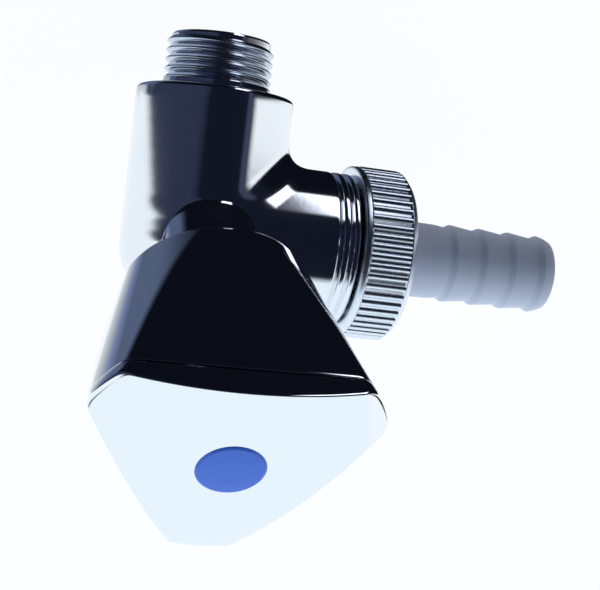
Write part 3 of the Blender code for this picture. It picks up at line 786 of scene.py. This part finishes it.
@dataclass
class HandleForm:
    """The handle's outer form: a cone cut by three flats and closed by a shallow dome."""

    back: float = 20.8
    back_radius: float = 17.3
    rim: float = 57.1
    rim_radius: float = 27.3
    flat: float = 17.5
    roll: float = math.radians(1.3)
    dome: float = 4.0
    edge: float = 1.3
    dome_edge: float = 0.22
    corner_edge: float = 1.9
    halvings: int = 40
    longest: float = 60.0

    def cone(self, points: np.ndarray) -> np.ndarray:
        """Distance from the cone alone."""
        lean = (self.rim_radius - self.back_radius) / (self.rim - self.back)
        radius = np.hypot(points[..., 0], points[..., 1])
        return (radius - self.back_radius - lean * (points[..., 2] - self.back)) / math.hypot(1.0, lean)

    def sides(self, points: np.ndarray) -> np.ndarray:
        """Distance from the cone with its three flats, their meeting edges softened."""
        sides = self.cone(points)
        for turn in range(3):
            angle = math.pi / 2.0 + self.roll + math.tau * turn / 3.0
            flat = points[..., 0] * math.cos(angle) + points[..., 1] * math.sin(angle) - self.flat
            sides = soft_max(sides, flat, self.edge)
        return sides

    def front(self, points: np.ndarray) -> np.ndarray:
        """Distance from the sphere that the dome is part of."""
        sphere = (self.rim_radius**2 + self.dome**2) / (2.0 * self.dome)
        centre = self.rim + self.dome - sphere
        away = np.sqrt(points[..., 0]**2 + points[..., 1]**2 + (points[..., 2] - centre)**2)
        return away - sphere

    def whole(self, points: np.ndarray) -> np.ndarray:
        """Distance from the sides and the dome together, their edge softer at the three corners."""
        sides = self.sides(points)
        corner = np.clip(1.0 - (sides - self.cone(points)) / self.edge, 0.0, 1.0)
        edge = self.dome_edge + (self.corner_edge - self.dome_edge) * corner
        return soft_max(sides, self.front(points), edge)

    def reach(self, angles: np.ndarray, station: float, rise: float = 0.0, inset: float = 0.0,
              domed: bool = False) -> np.ndarray:
        """How far the form reaches from a point on its axis.

        Args:
            angles: Directions round the axis.
            station: Where on the axis the rays start.
            rise: Angle of the rays above the plane across the axis.
            inset: How far inside the form the wanted surface lies.
            domed: Whether the dome closes the form.

        Returns:
            The length of each ray.
        """
        level = self.whole if domed else self.sides
        ray = np.stack((np.cos(angles) * math.cos(rise), np.sin(angles) * math.cos(rise),
                        np.full_like(angles, math.sin(rise))), 1)
        start = np.array((0.0, 0.0, station))
        low, high = np.zeros_like(angles), np.full_like(angles, self.longest)
        for _ in range(self.halvings):
            middle = (low + high) / 2.0
            out = level(start + ray * middle[:, None]) + inset > 0.0
            high, low = np.where(out, middle, high), np.where(out, low, middle)
        return (low + high) / 2.0


def soft_max(first: np.ndarray, second: np.ndarray, width: float) -> np.ndarray:
    """The larger of two distances, with a rounded edge where they are equal."""
    share = np.clip(0.5 + 0.5 * (first - second) / width, 0.0, 1.0)
    return second + (first - second) * share + width * share * (1.0 - share)


@dataclass
class Handle:
    """The handle: hollow three-flat shell, pressed-in domed cap and blue index.

    The cap's outside is felt out by rays from its back, which rise by these angles in degrees:
    close together over the skirt and its edge, wider apart over the dome.
    """

    form: HandleForm = field(default_factory=HandleForm)
    seam: float = 54.3
    back_fillet: float = 0.5
    seam_fillet: float = 0.16
    wall: float = 1.6
    web_back: float = 49.0
    web_front: float = 51.0
    hub_start: float = 41.7
    hub_radius: float = 8.6
    segments: int = 420
    rows: int = 100
    skirt_rises: tuple[float, ...] = tuple(np.linspace(1.3, 20.0, 70))
    dome_rises: tuple[float, ...] = tuple(np.linspace(20.0, 47.5, 45)[1:])

    def edge_rows(self, surface: RingSurface, station: float, inwards: int, fillet: float) -> None:
        """Add the rings of a rounded outer edge.

        Args:
            surface: The surface that gets the rings.
            station: Where the edge's end face lies.
            inwards: 1 where the edge opens the surface, -1 where it ends it.
            fillet: The edge's radius.
        """
        turns = [math.pi / 2.0 * step / ROUNDING_STEPS for step in range(ROUNDING_STEPS + 1)][::-inwards]
        for turn in turns:
            along = station + inwards * fillet * (1.0 - math.sin(turn))
            surface.add(self.form.reach(surface.angles, along, inset=fillet * (1.0 - math.cos(turn))), along)

    def shell(self) -> bpy.types.Mesh:
        """The shell: outside, front seam, web, hub and inside, as one closed wall."""
        surface = RingSurface(self.segments)
        form, angles = self.form, surface.angles
        start, end = form.back, self.seam - GAP / 2.0
        self.edge_rows(surface, start, 1, self.back_fillet)
        for along in np.linspace(start + self.back_fillet, end - self.seam_fillet, self.rows)[1:]:
            surface.add(form.reach(angles, along), along)
        self.edge_rows(surface, end, -1, self.seam_fillet)
        surface.add(form.reach(angles, end, inset=self.wall), end)
        surface.add(form.reach(angles, self.web_front, inset=self.wall), self.web_front)
        web = [(6.0, self.web_front), (2.5, self.web_front), (2.5, self.web_back), (6.3, self.web_back),
               (6.3, self.hub_start), (self.hub_radius, self.hub_start), (self.hub_radius, self.web_back)]
        surface.follow(web)
        surface.add(form.reach(angles, self.web_back, inset=self.wall), self.web_back)
        for along in np.linspace(self.web_back, start, 12)[1:]:
            surface.add(form.reach(angles, along, inset=self.wall), along)
        mesh = surface.build("handle_shell_form", HEADWORK.placement(), closed=True)
        mesh.set_sharp_from_angle(angle=math.radians(50.0))
        return mesh

    def cap(self) -> bpy.types.Mesh:
        """The cap: skirt, domed front, index recess and hollow back, as one closed wall."""
        surface = RingSurface(self.segments)
        form, angles = self.form, surface.angles
        start = self.seam + GAP / 2.0
        surface.add(form.reach(angles, start, inset=self.wall), start)
        self.edge_rows(surface, start, 1, self.seam_fillet)
        for rise in np.radians(self.skirt_rises + self.dome_rises):
            ray = form.reach(angles, start, rise=rise, domed=True)
            surface.add(ray * math.cos(rise), start + ray * math.sin(rise))
        lip = form.rim + form.dome
        recess = soften([(6.8, lip - 0.26, 0.0), (6.3, lip - 0.22, 0.22), (6.3, 59.8, 0.1), (4.6, 59.8, 0.1),
                         (4.6, 57.4, 0.0), (8.0, 57.4, 0.0)])
        surface.follow(recess[1:])
        for rise in np.radians((20.0, 14.0, 9.0, 5.0)):
            ray = form.reach(angles, start, rise=rise, inset=self.wall, domed=True)
            surface.add(ray * math.cos(rise), start + ray * math.sin(rise))
        mesh = surface.build("handle_cap_form", HEADWORK.placement(), closed=True)
        mesh.set_sharp_from_angle(angle=math.radians(50.0))
        return mesh

    def index(self) -> bpy.types.Mesh:
        """The cold-water index: a button with a slightly domed face and a hollow stem."""
        button = [(0, 61.55, 0), (3.0, 61.5, 2.0), (5.6, 61.3, 0.6), (6.05, 60.95, 0.25), (6.05, 60.1, 0.1),
                  (4.3, 60.1, 0.1), (4.3, 56.8, 0.2), (3.3, 56.8, 0.2), (3.3, 59.4, 0.2), (0, 59.4, 0)]
        return turned("index_form", button, HEADWORK, 96)

    def build(self) -> None:
        """Make the shell, the cap and the index."""
        for name, mesh, node in (("handle_three_flat_shell", self.shell(), "handle_shell"),
                                 ("handle_domed_cap", self.cap(), "handle_cap")):
            show(name, mesh, HANDLE_PLATE, Body.HANDLE, "handle_chrome", node)
        show("cold_water_index", self.index(), BLUE_ENAMEL, Body.HANDLE, "blue_index", "index_disc")


# ---------------------------------------------------------------- hose union


@dataclass
class Union:
    """The union nut with its straight knurl, and the barbed hose nozzle."""

    nut_start: float = 28.4
    nut_end: float = 39.1
    nut_radius: float = 16.9
    knurl_depth: float = 0.45
    knurl_start: float = 29.9
    knurl_end: float = 37.5
    barb_first: float = 50.4
    barb_pitch: float = 6.2
    barbs: int = 4
    barb_radius: float = 7.75
    barb_root: float = 7.1
    barb_rise: float = 1.2
    nozzle_end: float = 71.7
    collar_start: float = 34.9
    collar_radius: float = 12.2
    bore_radius: float = 4.6
    knurl: "Growth" = field(default_factory=knurl_growth)

    def nut(self) -> bpy.types.Mesh:
        """The nut: plain rim, knurled band, front chamfer, flange and threaded bore."""
        root, rim = self.nut_radius - self.knurl_depth, self.nut_radius - 0.15
        outline = [(15.9, self.nut_start, 0.3), (rim, self.nut_start, 0.45),
                   (rim, self.knurl_start - 0.35, 0.3), (root, self.knurl_start, 0.2),
                   (root, self.knurl_end - 0.1, 0.2), (self.nut_radius - 0.12, self.knurl_end + 0.35, 0.25),
                   (self.nut_radius - 1.5, self.nut_end, 0.35), (8.4, self.nut_end, 0.3),
                   (8.0, 38.6, 0.2), (8.0, 37.3, 0.1), (13.5, 37.3, 0.2), (13.5, 28.9, 0.1),
                   (14.1, self.nut_start, 0.1)]
        local = Axis((0.0, 0.0, 0.0), (1, 0, 0), (0, 1, 0), (0, 0, 1))
        base = turned("union_nut_form", outline, local, 144)
        grown = self.knurl.grow(base, NUT_PLATE, {
            "Length": (self.knurl_end - self.knurl_start + 0.3) * MM,
            "Middle": (self.knurl_end + self.knurl_start) / 2.0 * MM})
        grown.transform(Matrix.Scale(1 / MM, 4))
        grown.transform(OUTLET.placement())
        grown.set_sharp_from_angle(angle=math.radians(45.0))
        return grown

    def nozzle(self) -> bpy.types.Mesh:
        """The nozzle: collar, plain neck, barbs that rise steeply on the nut's side, and round nose."""
        neck = self.collar_start + 2.1
        outline = [(self.bore_radius, self.collar_start, 0.2), (self.collar_radius, self.collar_start, 0.3),
                   (self.collar_radius, neck, 0.3), (7.55, neck, 0.4), (7.4, self.barb_first - 3.4, 1.0)]
        for barb in range(self.barbs):
            peak = self.barb_first + self.barb_pitch * barb
            outline += [(self.barb_root, peak - self.barb_rise, 0.7), (self.barb_radius, peak, 0.55)]
        outline += [(7.35, self.nozzle_end - 1.3, 0.6), (6.9, self.nozzle_end - 0.35, 0.5),
                    (6.2, self.nozzle_end, 0.4), (5.3, self.nozzle_end, 0.3),
                    (self.bore_radius, self.nozzle_end - 0.7, 0.3)]
        return turned("hose_nozzle_form", outline, OUTLET, 112)

    def build(self) -> None:
        """Make the nut and the nozzle."""
        show("knurled_union_nut", self.nut(), NUT_PLATE, Body.NUT, "nut_chrome", "union_nut")
        show("barbed_hose_nozzle", self.nozzle(), NOZZLE_PLASTIC, Body.NOZZLE, "nozzle_plastic",
             "hose_nozzle")


# ---------------------------------------------------------------- pieces kept from the CAD model


class Internals:
    """The headwork and the backflow cartridge, whose CAD pieces are shown with better finishes."""

    replaced = {"valve_body", "handle_shell", "handle_cap", "index_disc", "union_nut", "hose_nozzle"}

    def build(self) -> None:
        """Give every CAD piece that is still shown the finish of its material slot."""
        for part in frame["record"]["subparts"]:
            name = part["node"]
            if name in self.replaced:
                continue
            node = frame["nodes"][name]
            material = SLOT_FINISHES[part["material_slot"]].material()
            if not node.material_slots:
                node.data.materials.append(material)
            for entry in node.material_slots:
                entry.material = material
            log.info("%s keeps its CAD shape, in %s", name, material.name)


# ---------------------------------------------------------------- studio


@dataclass(frozen=True)
class Panel:
    """A soft bright field of the studio, given as a range of directions along X, Y and Z.

    Its sides lean by `lean` along X and Y as Z rises.
    """

    low: Triple
    high: Triple
    radiance: Triple
    soft: Triple = (0.08, 0.08, 0.08)
    lean: tuple[float, float] = (0.0, 0.0)

    def shine(self, bench: NodeBench, parts: bpy.types.Node) -> bpy.types.NodeSocket:
        """Add the nodes that make the panel's light from a direction split in three.

        Args:
            bench: The bench of the room's tree.
            parts: The node that gives the direction's X, Y and Z.

        Returns:
            The socket with the panel's radiance.
        """
        share = None
        values = [bench.add("ShaderNodeMath", {0: parts.outputs["Z"], 1: -lean, 2: parts.outputs[side]},
                            operation="MULTIPLY_ADD").outputs["Value"] for side, lean in zip("XY", self.lean)]
        values.append(parts.outputs["Z"])
        for value, low, high, soft in zip(values, self.low, self.high, self.soft):
            for bound, sign in ((low, 1.0), (high, -1.0)):
                if abs(bound) > 1.0:
                    continue
                step = bench.add("ShaderNodeMapRange", {
                    "Value": value, "From Min": bound - sign * soft, "From Max": bound + sign * soft},
                    interpolation_type="SMOOTHSTEP").outputs["Result"]
                share = step if share is None else bench.add(
                    "ShaderNodeMath", {0: share, 1: step}, operation="MULTIPLY").outputs["Value"]
        return bench.add("ShaderNodeVectorMath", {0: self.radiance, "Scale": share},
                         operation="SCALE").outputs["Vector"]


@dataclass
class Studio:
    """A pale table, a room with soft panels, a fill light and the camera above the valve.

    The table's reach and the fill light's place are in metres.
    """

    table_height: float = -17.1
    table_reach: float = 1.6
    room_tone: Triple = (0.0035, 0.0045, 0.008)
    panels: tuple[Panel, ...] = (
        # Below and towards the front, under the whole valve.
        Panel((-0.62, -2.0, -2.0), (2.0, 0.16, -0.62), (0.95, 0.99, 1.0), (0.10, 0.06, 0.10)),
        # The front, which the handle's face mirrors.
        Panel((-0.80, -2.0, -2.0), (2.0, -0.42, 0.60), (0.88, 0.97, 1.02)),
        # The left, which makes the pale strip down the barrel.
        Panel((-2.0, -0.46, -2.0), (-0.45, 0.061, 0.45), (0.92, 0.98, 1.0), (0.08, 0.02, 0.10),
              (0.0, -0.116)),
        # Below on the left, for the outer side of the handle.
        Panel((-0.75, -2.0, -2.0), (0.05, 0.20, -0.60), (0.88, 0.96, 1.02), (0.10, 0.20, 0.10)),
        # The right, in two parts with a dark band between them.
        Panel((0.52, 0.075, -2.0), (2.0, 0.19, 0.64), (0.95, 0.99, 1.0), (0.08, 0.015, 0.08)),
        Panel((0.52, -2.0, -2.0), (2.0, -0.12, 0.64), (0.95, 0.99, 1.0), (0.08, 0.05, 0.08)),
        # The bright window at the back, which shows along the branch.
        Panel((0.243, 0.55, 0.14), (0.50, 2.0, 0.64), (1.7, 1.8, 2.0), (0.008, 0.05, 0.03), (0.041, 0.0)),
        # The dim left wall, which gives the barrel its lighter band.
        Panel((-2.0, -0.7, -0.7), (-0.30, 0.45, 0.93), (0.028, 0.036, 0.068), (0.04, 0.1, 0.1)),
        # Two bluish fields below the back, where the handle's left side turns from pale to dark.
        Panel((-0.75, -2.0, -2.0), (0.05, 0.34, -0.50), (0.22, 0.28, 0.47), (0.10, 0.14, 0.10)),
        Panel((-2.0, 0.16, -2.0), (0.12, 0.72, -0.35), (0.09, 0.12, 0.20), (0.1, 0.2, 0.1)),
        # The ceiling, barely lighter than the room.
        Panel((-0.5, -2.0, 0.45), (0.9, 0.7, 2.0), (0.007, 0.009, 0.019), (0.1, 0.1, 0.1)),
        # A faint line on the right of the ceiling.
        Panel((0.60, -0.6, 0.68), (0.74, 0.5, 0.80), (0.05, 0.055, 0.10), (0.03, 0.2, 0.04)),
    )
    fill_place: Triple = (0.10, -0.55, 0.42)
    fill_power: float = 0.9
    fill_size: float = 0.6
    camera_place: Triple = (-62.83, -51.352, 310.703)
    camera_right: Triple = (0.95843, 0.11151, 0.26079)
    camera_down: Triple = (0.11081, -0.99369, 0.01725)
    camera_view: Triple = (0.26106, 0.01238, -0.96474)
    lens: float = 98.52

    def table(self) -> None:
        """A plain pale table top under the valve. It doesn't show in the plating."""
        mesh = bpy.data.meshes.new("table_top")
        reach, height = self.table_reach, self.table_height * MM
        corners = [(x * reach, y * reach, height) for x, y in ((-1, -1), (1, -1), (1, 1), (-1, 1))]
        mesh.from_pydata(corners, [], [(0, 1, 2, 3)])
        top = bpy.data.objects.new("table_top", mesh)
        bpy.context.collection.objects.link(top)
        top.visible_glossy = False
        material = bpy.data.materials.new("table_white")
        material.use_nodes = True
        shader = material.node_tree.nodes["Principled BSDF"]
        shader.inputs["Base Color"].default_value = (0.10, 0.11, 0.12, 1.0)
        shader.inputs["Roughness"].default_value = 0.6
        shader.inputs["Emission Color"].default_value = (0.965, 0.99, 1.0, 1.0)
        shader.inputs["Emission Strength"].default_value = 0.97
        mesh.materials.append(material)

    def surroundings(self) -> None:
        """A dark, slightly blue room with its soft panels."""
        world = bpy.data.worlds.new("panel_room")
        world.use_nodes = True
        room = world.node_tree.nodes["Background"]
        bench = NodeBench(world.node_tree)
        way = bench.add("ShaderNodeTexCoord").outputs["Generated"]
        parts = bench.add("ShaderNodeSeparateXYZ", {"Vector": way})
        light = bench.add("ShaderNodeCombineXYZ", dict(zip("XYZ", self.room_tone))).outputs["Vector"]
        for panel in self.panels:
            light = bench.add("ShaderNodeVectorMath", {0: light, 1: panel.shine(bench, parts)},
                              operation="MAXIMUM").outputs["Vector"]
        bench.join(light, room.inputs["Color"])
        bpy.context.scene.world = world

    def fill(self) -> None:
        """A soft light from the front. It is hidden from reflections, so it lights only what is matt."""
        data = bpy.data.lights.new("fill_light", "AREA")
        data.shape, data.size = "SQUARE", self.fill_size
        data.energy, data.color = self.fill_power, (0.86, 0.93, 1.0)
        lamp = bpy.data.objects.new("fill_light", data)
        bpy.context.collection.objects.link(lamp)
        lamp.location = self.fill_place
        lamp.visible_glossy = False
        lamp.rotation_euler = (-lamp.location).to_track_quat("-Z", "Y").to_euler()

    def camera(self) -> None:
        """The camera, looking almost straight down on the valve."""
        data = bpy.data.cameras.new("studio_camera")
        data.lens, data.sensor_width, data.sensor_fit = self.lens, 36.0, "HORIZONTAL"
        data.clip_start, data.clip_end = 0.01, 10.0
        view = bpy.data.objects.new("studio_camera", data)
        bpy.context.collection.objects.link(view)
        turn = Matrix((self.camera_right, [-v for v in self.camera_down], [-v for v in self.camera_view]))
        place = Matrix.Translation(Vector(self.camera_place) * MM)
        view.matrix_world = place @ turn.transposed().to_4x4()
        bpy.context.scene.camera = view

    def build(self) -> None:
        """Set up the table, the room, the fill light and the camera."""
        self.table()
        self.surroundings()
        self.fill()
        self.camera()
        bpy.context.scene.view_settings.view_transform = "Standard"


# ---------------------------------------------------------------- assembly


def main() -> None:
    """Build every sub-assembly in order and note the size of the result."""
    logging.basicConfig(level=logging.INFO, format="%(name)s: %(message)s")
    for part in (Casting(), Handle(), Union(), Internals(), Studio()):
        part.build()
        log.info("%s is built", type(part).__name__)


if __name__ == "__main__":
    main()
